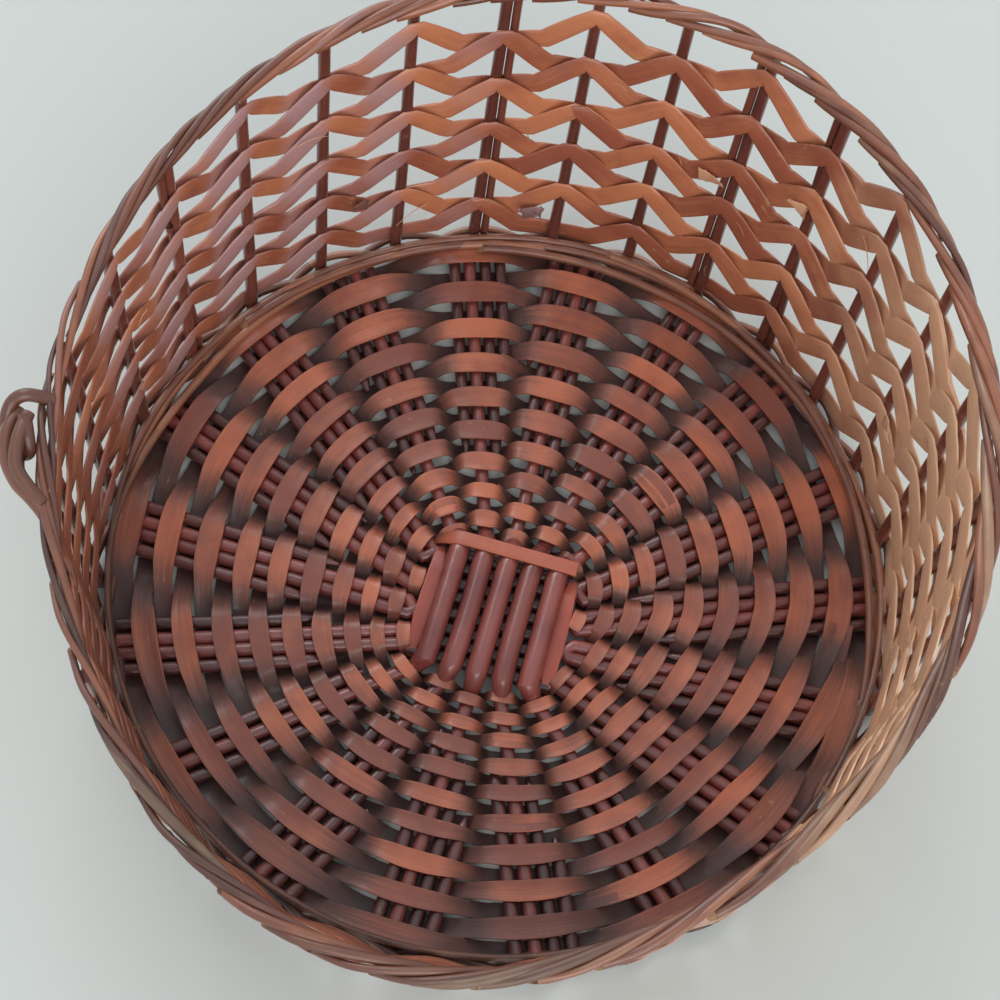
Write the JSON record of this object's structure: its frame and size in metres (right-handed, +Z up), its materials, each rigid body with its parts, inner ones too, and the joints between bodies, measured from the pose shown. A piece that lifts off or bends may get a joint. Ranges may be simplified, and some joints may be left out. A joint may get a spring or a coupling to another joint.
{
  "type": "onion basket",
  "caption": "Shallow, nearly round openwork basket of dark willow rods and flat willow splints, with a woven floor and a plied border, for storing onions.",
  "frame": {"origin": "centre of the whole basket's box, on the plane it stands on", "axes": "+Z up; Y along the longer way across the rim and along the five sticks of the floor's middle, with -Y the side nearest the camera; +X to the right in the picture"},
  "size_m": [0.255, 0.281, 0.1093],
  "materials": {
    "stake_bark": "satin",
    "wall_splint": "satin",
    "floor_splint": "satin",
    "rim_rod": "satin",
    "slath_rod": "gloss"
  },
  "bodies": {
    "root": {"long_stick_1": "slath_rod", "long_stick_2": "slath_rod", "long_stick_3": "slath_rod", "long_stick_4": "slath_rod", "long_stick_5": "slath_rod", "cross_stick_1": "slath_rod", "cross_stick_2": "slath_rod", "cross_stick_3": "slath_rod", "cross_stick_4": "slath_rod", "slath_splint": "floor_splint", "slath_skein_left": "slath_rod", "slath_skein_right": "slath_rod", "floor_weaver_1": "floor_splint", "floor_weaver_2": "floor_splint", "edge_rod_1": "rim_rod", "edge_rod_2": "rim_rod", "floor_hoop": "rim_rod", "stake_01": "stake_bark", "stake_02": "stake_bark", "stake_03": "stake_bark", "stake_04": "stake_bark", "stake_05": "stake_bark", "stake_06": "stake_bark", "stake_07": "stake_bark", "stake_08": "stake_bark", "stake_09": "stake_bark", "stake_10": "stake_bark", "stake_11": "stake_bark", "stake_12": "stake_bark", "stake_13": "stake_bark", "stake_14": "stake_bark", "stake_15": "stake_bark", "stake_16": "stake_bark", "stake_17": "stake_bark", "stake_18": "stake_bark", "stake_19": "stake_bark", "stake_20": "stake_bark", "stake_21": "stake_bark", "stake_22": "stake_bark", "stake_23": "stake_bark", "stake_24": "stake_bark", "stake_25": "stake_bark", "stake_26": "stake_bark", "stake_27": "stake_bark", "stake_28": "stake_bark", "wall_splint_01": "wall_splint", "wall_splint_02": "wall_splint", "wall_splint_03": "wall_splint", "wall_splint_04": "wall_splint", "wall_splint_05": "wall_splint", "wall_splint_06": "wall_splint", "wall_splint_07": "wall_splint", "wall_splint_08": "wall_splint", "wall_splint_09": "wall_splint", "wall_splint_10": "wall_splint", "rim_rod_1": "rim_rod", "rim_rod_2": "rim_rod", "rim_rod_3": "rim_rod", "rim_loop": "rim_rod"}
  },
  "joints": []
}
